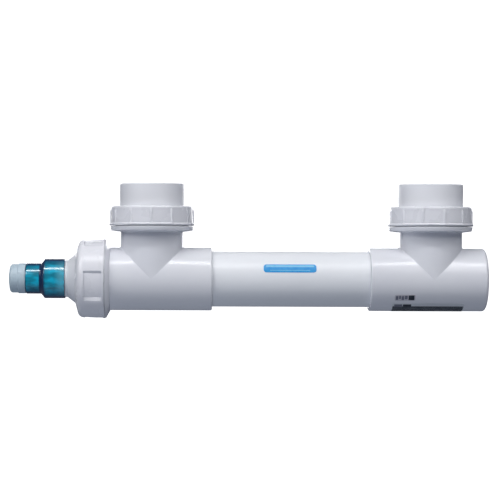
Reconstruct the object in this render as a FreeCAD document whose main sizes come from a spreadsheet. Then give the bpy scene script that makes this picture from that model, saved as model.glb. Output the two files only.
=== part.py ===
import FreeCAD, Part
import math
import operator
import os
from types import SimpleNamespace

import Sketcher

# An inline ultraviolet clarifier: water passes through a flow tube between two tees, around a
# quartz sleeve that holds a single-ended lamp.
#
# Frame: the origin is on the flow tube's axis, midway between the two ports. +Z is up, along the
# ports; +X points at the blind end, and the lamp end is at -X. Lengths are in millimetres.
# Pieces on the tube's axis are drawn upright, with their height measured from the middle of the
# tube towards their own end, and their placement lays them down. Pieces of the ports are drawn
# with their height above the tube's axis.

DIMENSIONS = {
    # pipework, from two inch pipe
    "pipe_outer": 60.3,
    "pipe_bore": 52.5,
    "port_spacing": 304.8,
    "fitting_outer": 68.8,
    "tee_arm": 67.75,
    "inlet_arm": 65.8,
    "lamp_arm": 45.1,
    "blind_arm": 59.1,
    "branch_top": 51.5,
    "socket_depth": 36.5,
    "glue_film": 0.1,
    "edge_round": 1.5,
    "blind_round": 3.5,
    "thread_chamfer": 1.0,
    "corner_chamfer": 0.6,
    # clearances between pieces that move apart
    "seat_gap": 0.3,
    "thread_gap": 0.4,
    "face_gap": 0.5,
    # union of each port
    "port_flange_radius": 45.9,
    "port_flange_depth": 6.0,
    "port_flange_cone": 1.4,
    "port_thread_radius": 41.0,
    "port_thread_length": 12.6,
    "port_nut_radius": 45.3,
    "port_nut_taper": 0.7,
    "port_nut_height": 21.0,
    "port_nut_gap": 0.7,
    "port_nut_round": 2.0,
    "lip_radius": 46.8,
    "lip_taper": 1.2,
    "lip_height": 1.6,
    "rib_radius": 46.1,
    "rib_angle": 2.6,
    "tail_outer": 70.6,
    "tail_flange_radius": 39.8,
    "tail_flange_depth": 4.5,
    "port_top": 103.9,
    "port_bore": 60.6,
    "port_depth": 29.0,
    # union of the lamp end
    "lamp_flange_radius": 43.2,
    "lamp_flange_depth": 5.0,
    "lamp_thread_radius": 37.5,
    "lamp_thread_length": 19.5,
    "lug_radius": 43.3,
    "recess_radius": 41.0,
    "recess_angle": 42.0,
    "lamp_nut_wall": 6.9,
    "lamp_nut_crown": 3.7,
    "lamp_nut_rim": 2.5,
    "recess_length": 19.8,
    "lamp_nut_mouth": 27.7,
    "lamp_nut_round": 6.0,
    # adapter that carries the quartz sleeve
    "adapter_flange_radius": 36.2,
    "adapter_flange_depth": 5.5,
    "adapter_hub_radius": 27.2,
    "adapter_cone_length": 9.0,
    "collar_radius": 20.2,
    "collar_length": 2.4,
    "nose_radius": 18.6,
    "nose_length": 15.4,
    "sleeve_outer": 23.0,
    "sleeve_wall": 1.5,
    "sleeve_mouth": 268.0,
    "sleeve_tip": 190.0,
    "sleeve_gap": 0.4,
    # quartz cap, which presses the gland on the sleeve
    "cap_wide_radius": 21.6,
    "cap_wide_length": 22.3,
    "cap_chamfer_length": 4.0,
    "cap_narrow_radius": 16.7,
    "cap_narrow_length": 16.4,
    "cap_socket_radius": 14.0,
    # lamp cap
    "lamp_cap_radius": 16.4,
    "lamp_cap_length": 18.2,
    "lamp_cap_wall": 4.8,
    "lamp_cap_band": 7.6,
    "lamp_cap_step": 0.8,
    "lamp_cap_dome": 1.4,
    "lamp_cap_round": 3.4,
    "plug_radius": 13.5,
    "plug_length": 13.0,
    "cavity_radius": 10.6,
    "cable_bore": 6.4,
    # lamp
    "lamp_outer": 15.5,
    "lamp_wall": 0.9,
    "lamp_foot": 291.2,
    "lamp_far_end": 176.0,
    "base_radius": 9.3,
    "base_length": 25.2,
    "pin_radius": 1.15,
    "pin_length": 8.8,
    "pin_offset": 3.4,
    "lead_radius": 0.45,
    "lead_offset": 8.5,
    # rings and printed pieces
    "port_ring_radius": 33.5,
    "lamp_ring_radius": 32.0,
    "ring_section": 2.0,
    "small_section": 0.9,
    "ring_proud": 0.2,
    "film_gap": 0.05,
    "film": 0.3,
    "label_start": 108.2,
    "label_end": 186.4,
    "label_angle": 86.0,
    "sticker_start": 110.3,
    "sticker_end": 132.5,
    "sticker_angle": 12.6,
    "decal_start": -31.1,
    "decal_end": 25.9,
    "decal_angle": 18.0,
}

WORK = {"+": operator.add, "-": operator.sub, "*": operator.mul, "/": operator.truediv}
PORT_RIBS = 12
LAMP_NUT_LUGS = 4
LAMP_PINS = 4
PLUG_FINS = 4
FIRST_RECESS = -9.5
FILM_CENTRES = {"rating_label": -90.0, "spec_sticker": -33.5, "tube_decal": 24.0}
FULL_TURN = 360.0
AXES = {"x": FreeCAD.Vector(1, 0, 0), "z": FreeCAD.Vector(0, 0, 1)}
TINY = 1e-4

doc = FreeCAD.newDocument("uv_clarifier")


class Size:
    """A length: its present value, and the expression that ties it to the sheet."""

    def __init__(self, value, text):
        self.value = value
        self.text = text

    def __add__(self, other):
        return combine(self, "+", other)

    def __radd__(self, other):
        return combine(other, "+", self)

    def __sub__(self, other):
        return combine(self, "-", other)

    def __rsub__(self, other):
        return combine(other, "-", self)

    def __mul__(self, other):
        return combine(self, "*", other)

    def __truediv__(self, other):
        return combine(self, "/", other)

    def __neg__(self):
        return combine(0, "-", self)


def as_size(number):
    if isinstance(number, Size):
        return number
    return Size(float(number), f"({float(number)!r})")


def combine(left, sign, right):
    left, right = as_size(left), as_size(right)
    value = WORK[sign](left.value, right.value)
    return Size(value, f"({left.text} {sign} {right.text})")


def make_sheet():
    """Write every driving dimension to the sheet and give it back as a size with its alias."""
    sheet = doc.addObject("Spreadsheet::Sheet", "Dims")
    for row, (alias, value) in enumerate(DIMENSIONS.items(), start=1):
        sheet.set(f"A{row}", alias)
        sheet.set(f"B{row}", str(value))
        sheet.setAlias(f"B{row}", alias)
    doc.recompute()
    sizes = {alias: Size(value, f"Dims.{alias}") for alias, value in DIMENSIONS.items()}
    return SimpleNamespace(**sizes)


class Piece:
    """A PartDesign body whose features are turned about its own axes, from outlines in XZ."""

    def __init__(self, name):
        self.name = name
        self.count = 0
        self.body = doc.addObject("PartDesign::Body", name)
        self.body.Label = name

    def new(self, kind, word):
        self.count += 1
        return self.body.newObject(kind, f"{self.name}_{word}{self.count}")

    def sketch(self):
        planes = [item for item in self.body.Origin.OriginFeatures if item.Role == "XZ_Plane"]
        sketch = self.new("Sketcher::SketchObject", "sketch")
        sketch.AttachmentSupport = (planes[0], [""])
        sketch.MapMode = "FlatFace"
        return sketch

    def bind(self, sketch, kind, geometry, point, size):
        """Hold one point of the sketch at a distance from its origin."""
        constraint = Sketcher.Constraint(kind, -1, 1, geometry, point, size.value)
        index = sketch.addConstraint(constraint)
        sketch.setExpression(f"Constraints[{index}]", size.text)

    def outline(self, points):
        """Draw a closed outline through (across, up) points in the XZ plane."""
        sketch = self.sketch()
        points = [(as_size(across), as_size(up)) for across, up in points]
        corners = [FreeCAD.Vector(across.value, up.value, 0) for across, up in points]
        total = len(points)
        for index in range(total):
            sketch.addGeometry(Part.LineSegment(corners[index], corners[(index + 1) % total]), False)
        for index in range(total):
            sketch.addConstraint(Sketcher.Constraint("Coincident", index, 2, (index + 1) % total, 1))
        for index, (across, up) in enumerate(points):
            self.bind(sketch, "DistanceX", index, 1, across)
            self.bind(sketch, "DistanceY", index, 1, up)
        return sketch

    def circle(self, across, up, radius):
        """Draw one circle in the XZ plane, for a ring of round section."""
        sketch = self.sketch()
        across, up, radius = as_size(across), as_size(up), as_size(radius)
        centre = FreeCAD.Vector(across.value, up.value, 0)
        sketch.addGeometry(Part.Circle(centre, FreeCAD.Vector(0, 0, 1), radius.value), False)
        self.bind(sketch, "DistanceX", 0, 3, across)
        self.bind(sketch, "DistanceY", 0, 3, up)
        index = sketch.addConstraint(Sketcher.Constraint("Radius", 0, radius.value))
        sketch.setExpression(f"Constraints[{index}]", radius.text)
        return sketch

    def feature(self, kind, word, sketch, axis, angle):
        feature = self.new(kind, word)
        feature.Profile = sketch
        feature.ReferenceAxis = (sketch, [axis])
        angle = as_size(angle)
        feature.Angle = angle.value
        feature.Midplane = angle.value < FULL_TURN
        if feature.Midplane:
            feature.setExpression("Angle", angle.text)
        self.body.Tip = feature
        doc.recompute()
        return feature

    def turn(self, points, angle=FULL_TURN, axis="V_Axis"):
        """Add the outline's turned solid, or a sector of it centred on the outline's plane."""
        return self.feature("PartDesign::Revolution", "turn", self.outline(points), axis, angle)

    def turn_ring(self, across, up, radius):
        """Add a ring of round section."""
        sketch = self.circle(across, up, radius)
        return self.feature("PartDesign::Revolution", "ring", sketch, "V_Axis", FULL_TURN)

    def groove(self, points, angle=FULL_TURN, axis="V_Axis"):
        """Cut the outline's turned solid away, and check that it has cut something."""
        before = self.body.Shape.Volume
        cut = self.feature("PartDesign::Groove", "groove", self.outline(points), axis, angle)
        if self.body.Shape.Volume >= before:
            raise RuntimeError(f"{self.name}: a groove cut nothing")
        return cut

    def repeat(self, feature, count):
        """Repeat a feature evenly round the Z axis."""
        pattern = self.new("PartDesign::PolarPattern", "pattern")
        pattern.Originals = [feature]
        pattern.Axis = (feature.Profile[0], ["V_Axis"])
        pattern.Angle = FULL_TURN
        pattern.Occurrences = count
        self.body.Tip = pattern
        doc.recompute()

    def round_off(self, spots, size, axis="z"):
        """Round the circular edges about an axis that pass through the (radius, height) spots."""
        base = self.body.Tip
        names = []
        for radius, height in spots:
            radius, height = as_size(radius).value, as_size(height).value
            for index, edge in enumerate(base.Shape.Edges, start=1):
                if is_rim(edge, AXES[axis], radius, height):
                    names.append(f"Edge{index}")
        if len(names) < len(spots):
            raise RuntimeError(f"{self.name}: an edge to round was not found")
        fillet = self.new("PartDesign::Fillet", "round")
        fillet.Base = (base, names)
        fillet.Radius = size.value
        fillet.setExpression("Radius", size.text)
        self.body.Tip = fillet
        doc.recompute()


def is_rim(edge, axis, radius, height):
    """Tell whether an edge is the circle of that radius about the axis at that height."""
    if edge.Curve.TypeId != "Part::GeomCircle":
        return False
    right_place = edge.Curve.Center.isEqual(axis * height, TINY)
    return right_place and abs(edge.Curve.Radius - radius) < TINY


def place(item, x=0, z=0, rotation=FreeCAD.Rotation()):
    """Turn a piece into its attitude, and bind its position to the sheet."""
    x, z = as_size(x), as_size(z)
    item.Placement = FreeCAD.Placement(FreeCAD.Vector(x.value, 0, z.value), rotation)
    item.setExpression("Placement.Base.x", x.text)
    item.setExpression("Placement.Base.z", z.text)


def about(axis, angle):
    return FreeCAD.Rotation(FreeCAD.Vector(*axis), angle)


def lie(towards, spin=0.0):
    """Lay an upright piece along the tube, after spinning it about its own axis."""
    tilt = {"lamp": -90.0, "blind": 90.0}[towards]
    return about((0, 1, 0), tilt) * about((0, 0, 1), spin)


def band(inner, outer, low, high):
    """Outline of a plain ring: two radii and two heights."""
    return [(inner, low), (outer, low), (outer, high), (inner, high)]


d = make_sheet()

# Radii and heights that several pieces share.
pipe_radius = d.pipe_outer / 2
bore_radius = d.pipe_bore / 2
socket_radius = pipe_radius + d.glue_film
spigot_radius = pipe_radius
fitting_radius = d.fitting_outer / 2
port_x = d.port_spacing / 2
stop_arm = d.tee_arm - d.socket_depth
tube_half = port_x - stop_arm - d.seat_gap

port_flange_face = d.branch_top + d.port_flange_depth
port_thread_face = port_flange_face + d.port_thread_length
tail_back = port_thread_face + d.face_gap
tail_flange_top = tail_back + d.tail_flange_depth
port_nut_bottom = port_flange_face + d.port_nut_gap
port_nut_bore = d.port_thread_radius + d.thread_gap

lamp_end = port_x + d.lamp_arm
lamp_flange_face = lamp_end + d.lamp_flange_depth
lamp_thread_face = lamp_flange_face + d.lamp_thread_length
adapter_back = lamp_thread_face + d.face_gap
adapter_flange_front = adapter_back + d.adapter_flange_depth
lamp_nut_back = lamp_flange_face + d.thread_gap
lamp_nut_inside = adapter_flange_front + d.seat_gap
lamp_nut_front = lamp_nut_inside + d.lamp_nut_wall
lamp_nut_bore = d.lamp_thread_radius + d.thread_gap
cone_end = lamp_nut_front + d.adapter_cone_length
collar_end = cone_end + d.collar_length
nose_end = collar_end + d.nose_length

sleeve_radius = d.sleeve_outer / 2
sleeve_bore = sleeve_radius - d.sleeve_wall
sleeve_pass = sleeve_radius + d.sleeve_gap
seal_pocket_radius = sleeve_radius + d.ring_section * 2 + 0.1

cap_back = collar_end + d.seat_gap
cap_wide_end = cap_back + d.cap_wide_length
cap_shoulder = cap_wide_end + d.cap_chamfer_length
cap_end = cap_shoulder + d.cap_narrow_length
cap_thread_radius = d.nose_radius + d.thread_gap

lamp_cap_back = cap_end + d.seat_gap
lamp_cap_end = lamp_cap_back + d.lamp_cap_length
cavity_end = lamp_cap_end - d.lamp_cap_wall
plug_front = lamp_cap_back - d.plug_length


# ---- housing -------------------------------------------------------------------------------

def flow_tube():
    tube = Piece("flow_tube")
    tube.turn(band(bore_radius, pipe_radius, -tube_half, tube_half))
    place(tube.body, rotation=lie("blind"))


def tee(name, x, left_arm, right_arm, eased_ends):
    """An equal tee with a socket in each end; its branch stands on Z and its run lies on X.

    Each eased end is an end of the run, by its place on X, and the size of its round."""
    piece = Piece(name)
    run = [(-left_arm, 0), (right_arm, 0), (right_arm, fitting_radius), (-left_arm, fitting_radius)]
    piece.turn(run, axis="H_Axis")
    piece.turn(band(0, fitting_radius, 0, d.branch_top))
    run_bore = [
        (-left_arm, 0), (right_arm, 0), (right_arm, socket_radius), (stop_arm, socket_radius),
        (stop_arm, bore_radius), (-stop_arm, bore_radius), (-stop_arm, socket_radius),
        (-left_arm, socket_radius),
    ]
    piece.groove(run_bore, axis="H_Axis")
    branch_bore = [
        (0, 0), (bore_radius, 0), (bore_radius, stop_arm), (socket_radius, stop_arm),
        (socket_radius, d.branch_top), (0, d.branch_top),
    ]
    piece.groove(branch_bore)
    for end, size in eased_ends:
        piece.round_off([(fitting_radius, end)], size, axis="x")
    place(piece.body, x=x)


def port_thread_end(name, x):
    """The union's fixed half: a spigot in the branch, a thick flange and the male thread."""
    piece = Piece(name)
    spigot_foot = stop_arm + d.seat_gap
    ring_depth = d.ring_section * 2 - d.ring_proud
    piece.turn([
        (bore_radius, spigot_foot), (spigot_radius, spigot_foot),
        (spigot_radius, d.branch_top), (fitting_radius, d.branch_top),
        (fitting_radius + 2.1, d.branch_top + 0.2),
        (d.port_flange_radius - 1.1, d.branch_top + d.port_flange_cone),
        (d.port_flange_radius, port_flange_face), (d.port_thread_radius, port_flange_face),
        (d.port_thread_radius, port_thread_face - d.thread_chamfer),
        (d.port_thread_radius - d.thread_chamfer, port_thread_face),
        (bore_radius, port_thread_face),
    ])
    inner = d.port_ring_radius - d.ring_section - 0.1
    outer = d.port_ring_radius + d.ring_section + 0.1
    piece.groove(band(inner, outer, port_thread_face - ring_depth, port_thread_face + 1))
    place(piece.body, x=x)


def port_seal(name, x):
    ring = Piece(name)
    ring.turn_ring(d.port_ring_radius, port_thread_face + d.ring_proud - d.ring_section,
                   d.ring_section)
    place(ring.body, x=x)


def lamp_thread_end():
    """The fixed half of the lamp union, glued in the inlet tee."""
    piece = Piece("lamp_thread_end")
    spigot_foot = port_x + stop_arm + d.seat_gap
    ring_depth = d.ring_section * 2 - d.ring_proud
    piece.turn([
        (bore_radius, spigot_foot), (spigot_radius, spigot_foot),
        (spigot_radius, lamp_end), (fitting_radius, lamp_end),
        (d.lamp_flange_radius - 0.7, lamp_flange_face - 0.6),
        (d.lamp_flange_radius, lamp_flange_face), (d.lamp_thread_radius, lamp_flange_face),
        (d.lamp_thread_radius, lamp_thread_face - d.thread_chamfer),
        (d.lamp_thread_radius - d.thread_chamfer, lamp_thread_face),
        (bore_radius, lamp_thread_face),
    ])
    inner = d.lamp_ring_radius - d.ring_section - 0.1
    outer = d.lamp_ring_radius + d.ring_section + 0.1
    piece.groove(band(inner, outer, lamp_thread_face - ring_depth, lamp_thread_face + 1))
    place(piece.body, rotation=lie("lamp"))


def lamp_end_seal():
    ring = Piece("lamp_end_seal")
    height = lamp_thread_face + d.ring_proud - d.ring_section
    ring.turn_ring(d.lamp_ring_radius, height, d.ring_section)
    place(ring.body, rotation=lie("lamp"))


def end_plug():
    """Closes the blind end: a skirt glued in the tee, an end wall and a finned cup inside."""
    plug = Piece("end_plug")
    end = port_x + d.blind_arm
    skirt_foot = port_x + stop_arm + d.seat_gap
    wall = end - 6.0
    cup_inner = sleeve_pass + 0.1
    cup_outer = cup_inner + 2.2
    cup_mouth = d.sleeve_tip - 13.0
    plug.turn([
        (0, wall - 3.0), (cup_inner, wall - 3.0), (cup_inner, cup_mouth),
        (cup_outer, cup_mouth), (cup_outer, wall), (bore_radius, wall),
        (bore_radius, skirt_foot), (spigot_radius, skirt_foot), (spigot_radius, end),
        (bore_radius - 2.0, end), (bore_radius - 3.0, end - 1.2), (0, end - 1.2),
    ])
    fin = plug.turn(band(cup_outer - 0.5, bore_radius + 0.5, skirt_foot + 4.0, wall + 0.5), 5.0)
    plug.repeat(fin, PLUG_FINS)
    place(plug.body, rotation=lie("blind", 45.0))


def sleeve_cushion():
    """A rubber pad in the plug's cup, behind the sleeve's tip."""
    cushion = Piece("sleeve_cushion")
    floor = port_x + d.blind_arm - 9.0
    cushion.turn([(0, floor - 5.0), (5.0, floor - 5.0), (11.0, floor - 3.5), (11.0, floor),
                  (0, floor)])
    place(cushion.body, rotation=lie("blind"))


def film(name, surface, start, end, angle):
    """A thin printed piece on a cylinder; its centre is given as an angle up from the front."""
    piece = Piece(name)
    inner = surface + d.film_gap
    outer = inner + d.film
    piece.turn([(start, inner), (end, inner), (end, outer), (start, outer)], angle, "H_Axis")
    place(piece.body, rotation=about((1, 0, 0), 90.0 - FILM_CENTRES[name]))


# ---- unions of the ports -------------------------------------------------------------------

def tailpiece(name, x):
    """The union's loose half, with the socket that the pond's pipe is glued in."""
    piece = Piece(name)
    tail_radius = d.tail_outer / 2
    mouth = d.port_bore / 2
    stop = d.port_top - d.port_depth
    piece.turn([
        (bore_radius, tail_back), (d.tail_flange_radius, tail_back),
        (d.tail_flange_radius, tail_flange_top), (tail_radius, tail_flange_top),
        (tail_radius, d.port_top - 0.9), (tail_radius - 0.9, d.port_top),
        (mouth, d.port_top), (mouth, stop), (bore_radius, stop),
    ])
    place(piece.body, x=x)


def port_nut(name, x, spin):
    """A slightly tapered union nut, with a lip at its mouth and narrow ribs for the hand."""
    nut = Piece(name)
    inside = tail_flange_top + d.seat_gap - port_nut_bottom
    mouth = d.tail_outer / 2 + d.face_gap
    top = d.port_nut_height
    crown = d.port_nut_radius - d.port_nut_taper
    nut.turn([
        (port_nut_bore + 0.8, 0), (d.lip_radius - d.lip_taper, 0), (d.lip_radius, d.lip_height),
        (d.port_nut_radius, d.lip_height + d.lip_radius - d.port_nut_radius),
        (crown, top), (mouth, top),
        (mouth, inside), (port_nut_bore, inside), (port_nut_bore, 0.8),
    ])
    nut.round_off([(crown, top)], d.port_nut_round)
    root = d.port_nut_radius - 2.5
    rib = nut.turn([
        (root, 1.0), (d.rib_radius, d.lip_height), (d.rib_radius, top - 5.0),
        (crown, top - 2.0), (root, top - 1.2),
    ], d.rib_angle)
    nut.repeat(rib, PORT_RIBS)
    place(nut.body, x=x, z=port_nut_bottom, rotation=about((0, 0, 1), spin))


# ---- lamp head -----------------------------------------------------------------------------

def sleeve_adapter():
    """Flange, hollow cone, collar and threaded nose, with the gland's pocket in the nose."""
    piece = Piece("sleeve_adapter")
    pocket_floor = nose_end - 5.8
    hollow_radius = d.adapter_hub_radius - 3.8
    piece.turn([
        (hollow_radius, adapter_back), (d.adapter_flange_radius, adapter_back),
        (d.adapter_flange_radius, adapter_flange_front),
        (d.adapter_hub_radius, adapter_flange_front), (d.adapter_hub_radius, lamp_nut_front),
        (d.collar_radius, cone_end), (d.collar_radius, collar_end),
        (d.nose_radius, collar_end), (d.nose_radius, nose_end - 0.8),
        (d.nose_radius - 0.8, nose_end), (seal_pocket_radius, nose_end),
        (seal_pocket_radius, pocket_floor), (sleeve_pass, pocket_floor),
        (sleeve_pass, cone_end + 1.5), (d.collar_radius - 4.0, cone_end),
        (hollow_radius, lamp_nut_front - 1.0),
    ])
    place(piece.body, rotation=lie("lamp"))


def quartz_sleeve():
    sleeve = Piece("quartz_sleeve")
    tip = -d.sleeve_tip
    floor = tip + d.sleeve_wall
    sleeve.turn([
        (0, tip), (sleeve_radius, tip), (sleeve_radius, d.sleeve_mouth),
        (sleeve_bore, d.sleeve_mouth), (sleeve_bore, floor), (0, floor),
    ])
    sleeve.round_off([(sleeve_radius, tip)], sleeve_radius - 0.3)
    sleeve.round_off([(sleeve_bore, floor)], sleeve_bore - 0.3)
    place(sleeve.body, rotation=lie("lamp"))


def sleeve_seal():
    ring = Piece("sleeve_seal")
    ring.turn_ring(sleeve_radius + d.ring_section + 0.05, nose_end - 3.6, d.ring_section)
    place(ring.body, rotation=lie("lamp"))


def lamp_union_nut():
    """A large nut with four wide lugs, a plain rim at its back and a low crown in front."""
    nut = Piece("lamp_union_nut")
    shoulder = lamp_nut_front - d.lamp_nut_crown
    nut.turn([
        (lamp_nut_bore, lamp_nut_back), (d.lug_radius - d.corner_chamfer, lamp_nut_back),
        (d.lug_radius, lamp_nut_back + d.corner_chamfer),
        (d.lug_radius - 0.2, lamp_nut_back + 15.0), (d.lug_radius - 1.4, shoulder),
        (d.lamp_nut_mouth + d.corner_chamfer, lamp_nut_front),
        (d.lamp_nut_mouth, lamp_nut_front - 0.4), (d.lamp_nut_mouth, lamp_nut_inside),
        (lamp_nut_bore, lamp_nut_inside),
    ])
    nut.round_off([(d.lug_radius - 1.4, shoulder)], d.lamp_nut_round)
    recess_back = lamp_nut_back + d.lamp_nut_rim
    recess_front = recess_back + d.recess_length
    recess = nut.groove(band(d.recess_radius, d.lug_radius + 2, recess_back, recess_front),
                        d.recess_angle)
    nut.repeat(recess, LAMP_NUT_LUGS)
    place(nut.body, rotation=lie("lamp", FIRST_RECESS - 90.0))


def gland_follower():
    """A stepped ring on the sleeve, which pushes the seal into the nose's pocket."""
    ring = Piece("gland_follower")
    step = nose_end + 1.0
    ring.turn([
        (sleeve_pass, nose_end - 1.4), (seal_pocket_radius - d.seat_gap, nose_end - 1.4),
        (seal_pocket_radius - d.seat_gap, step), (cap_thread_radius - 0.9, step),
        (cap_thread_radius - 0.9, cap_wide_end - 0.4), (sleeve_pass, cap_wide_end - 0.4),
    ])
    place(ring.body, rotation=lie("lamp"))


def quartz_cap():
    """The stepped compression cap that screws on the nose and takes the lamp cap's plug."""
    cap = Piece("quartz_cap")
    inside = cap_wide_end - 0.1
    throat = sleeve_pass + 0.8
    socket_floor = cap_shoulder + 1.8
    cap.turn([
        (cap_thread_radius, cap_back), (d.cap_wide_radius, cap_back),
        (d.cap_wide_radius, cap_wide_end), (d.cap_narrow_radius, cap_shoulder),
        (d.cap_narrow_radius, cap_end - 1.2), (d.cap_narrow_radius - 1.0, cap_end),
        (d.cap_socket_radius, cap_end), (d.cap_socket_radius, socket_floor),
        (throat, socket_floor), (throat, inside), (cap_thread_radius, inside),
    ])
    place(cap.body, rotation=lie("lamp"))


# ---- lamp cap ------------------------------------------------------------------------------

def lamp_cap():
    """A stepped, domed cap with a plug for the quartz cap, a seal groove and a cable hole."""
    cap = Piece("lamp_cap")
    hole = d.cable_bore / 2 + 2.0
    step = lamp_cap_back + d.lamp_cap_band
    slim_radius = d.lamp_cap_radius - d.lamp_cap_step
    shoulder = lamp_cap_end - d.lamp_cap_dome
    cap.turn([
        (d.cavity_radius, plug_front), (d.plug_radius - d.corner_chamfer, plug_front),
        (d.plug_radius, plug_front + d.corner_chamfer), (d.plug_radius, lamp_cap_back),
        (d.lamp_cap_radius - 0.3, lamp_cap_back), (d.lamp_cap_radius, lamp_cap_back + 0.3),
        (d.lamp_cap_radius, step), (slim_radius, step + d.lamp_cap_step),
        (slim_radius, shoulder), (hole + 2.0, lamp_cap_end), (hole, lamp_cap_end),
        (hole, cavity_end), (d.cavity_radius, cavity_end),
    ])
    cap.round_off([(slim_radius, shoulder)], d.lamp_cap_round)
    groove_radius = d.plug_radius - d.small_section * 2 + d.ring_proud - 0.05
    middle = plug_front + 4.5
    cap.groove(band(groove_radius, d.plug_radius + 1, middle - 1.1, middle + 1.1))
    place(cap.body, rotation=lie("lamp"))


def cap_seal():
    ring = Piece("cap_seal")
    across = d.plug_radius + d.ring_proud - d.small_section
    ring.turn_ring(across, plug_front + 4.5, d.small_section)
    place(ring.body, rotation=lie("lamp"))


def cable_grommet():
    """A rubber bush in the lamp cap's end, level with it, that the cable would pass through."""
    bush = Piece("cable_grommet")
    inner = d.cable_bore / 2
    bush.turn([
        (inner, cavity_end - 1.6), (inner + 3.6, cavity_end - 1.6), (inner + 3.6, cavity_end),
        (inner + 2.0, cavity_end), (inner + 2.0, lamp_cap_end - 0.2),
        (inner + 1.4, lamp_cap_end), (inner, lamp_cap_end),
    ])
    place(bush.body, rotation=lie("lamp"))


def rods(name, radius, offset, count, low, high):
    """Equal round rods, evenly spaced about the tube's axis and parallel to it."""
    parts = []
    for index in range(count):
        angle = math.radians(FULL_TURN * (index + 0.5) / count)
        rod = doc.addObject("Part::Cylinder", f"{name}_{index + 1}")
        rod.setExpression("Radius", radius.text)
        rod.setExpression("Height", (high - low).text)
        rod.setExpression("Placement.Base.x", (offset * math.cos(angle)).text)
        rod.setExpression("Placement.Base.y", (offset * math.sin(angle)).text)
        rod.setExpression("Placement.Base.z", low.text)
        parts.append(rod)
    return parts


def join(name, parts):
    """Group separate solids, or fuse touching ones, and lay them towards the lamp end."""
    group = doc.addObject("Part::MultiFuse", name)
    group.Label = name
    group.Shapes = parts
    doc.recompute()
    place(group, rotation=lie("lamp"))


def lamp_socket():
    """The moulded block in the lamp cap, with four holes that the lamp's pins enter."""
    block = doc.addObject("Part::Cylinder", "socket_block")
    back = d.lamp_foot + d.face_gap
    front = cavity_end - 1.8
    block.setExpression("Radius", (d.cavity_radius - d.glue_film).text)
    block.setExpression("Height", (front - back).text)
    block.setExpression("Placement.Base.z", back.text)
    holes = rods("socket_hole", d.pin_radius + 0.75, d.pin_offset, LAMP_PINS, back - 1, front + 1)
    bores = doc.addObject("Part::MultiFuse", "socket_holes")
    bores.Shapes = holes
    socket = doc.addObject("Part::Cut", "lamp_socket")
    socket.Label = "lamp_socket"
    socket.Base = block
    socket.Tool = bores
    doc.recompute()
    place(socket, rotation=lie("lamp"))


def socket_contacts():
    """A thin metal tube in each hole of the socket, which grips one pin."""
    low = d.lamp_foot + d.face_gap + 1
    high = cavity_end - 2.4
    outer = rods("contact_wall", d.pin_radius + 0.7, d.pin_offset, LAMP_PINS, low, high)
    inner = rods("contact_bore", d.pin_radius + 0.35, d.pin_offset, LAMP_PINS, low - 1, high + 1)
    walls = doc.addObject("Part::MultiFuse", "contact_walls")
    walls.Shapes = outer
    bores = doc.addObject("Part::MultiFuse", "contact_bores")
    bores.Shapes = inner
    contacts = doc.addObject("Part::Cut", "socket_contacts")
    contacts.Label = "socket_contacts"
    contacts.Base = walls
    contacts.Tool = bores
    doc.recompute()
    place(contacts, rotation=lie("lamp"))


# ---- lamp ----------------------------------------------------------------------------------

lamp_radius = d.lamp_outer / 2
base_front = d.lamp_foot - d.base_length
tube_foot = base_front + 8.0
tube_tip = 4.0 - d.lamp_far_end
cap_mouth = 10.0 - d.lamp_far_end


def lamp_tube():
    """The sealed quartz tube: closed at both ends and hollow inside."""
    tube = Piece("lamp_tube")
    tube.turn(band(0, lamp_radius, tube_tip, tube_foot))
    tube.groove(band(0, lamp_radius - d.lamp_wall, tube_tip + 3.0, tube_foot - 3.0))
    place(tube.body, rotation=lie("lamp"))


def lamp_base():
    base = Piece("lamp_base")
    pocket = lamp_radius + d.glue_film
    base.turn([
        (0, tube_foot + d.glue_film), (pocket, tube_foot + d.glue_film), (pocket, base_front),
        (d.base_radius - d.corner_chamfer, base_front),
        (d.base_radius, base_front + d.corner_chamfer),
        (d.base_radius, d.lamp_foot - d.corner_chamfer),
        (d.base_radius - d.corner_chamfer, d.lamp_foot), (0, d.lamp_foot),
    ])
    place(base.body, rotation=lie("lamp"))


def lamp_end_cap():
    cap = Piece("lamp_end_cap")
    pocket = lamp_radius + d.glue_film
    outer = d.lead_offset + d.lead_radius
    cap.turn([
        (0, -d.lamp_far_end), (outer - 1.5, -d.lamp_far_end), (outer, 1.5 - d.lamp_far_end),
        (outer, cap_mouth), (pocket, cap_mouth), (pocket, tube_tip - d.glue_film),
        (0, tube_tip - d.glue_film),
    ])
    place(cap.body, rotation=lie("lamp"))


def lamp_electrodes():
    """At each end of the tube, two posts that hold a coiled filament across the axis."""
    posts = []
    for end, foot, reach in (("near", tube_foot - 3.0, -12.0), ("far", tube_tip + 3.0, 12.0)):
        low, high = sorted([foot, foot + reach], key=lambda size: size.value)
        posts += rods(f"post_{end}", as_size(0.4), as_size(3.0), 2, low, high)
        coil = doc.addObject("Part::Cylinder", f"coil_{end}")
        coil.Radius = 0.8
        coil.Height = 8.0
        coil.Placement.Rotation = about((1, 0, 0), 90.0)
        coil.setExpression("Placement.Base.y", "4.0")
        coil.setExpression("Placement.Base.z", (foot + reach * 0.9).text)
        posts.append(coil)
    join("lamp_electrodes", posts)


# ---- build ---------------------------------------------------------------------------------

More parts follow.
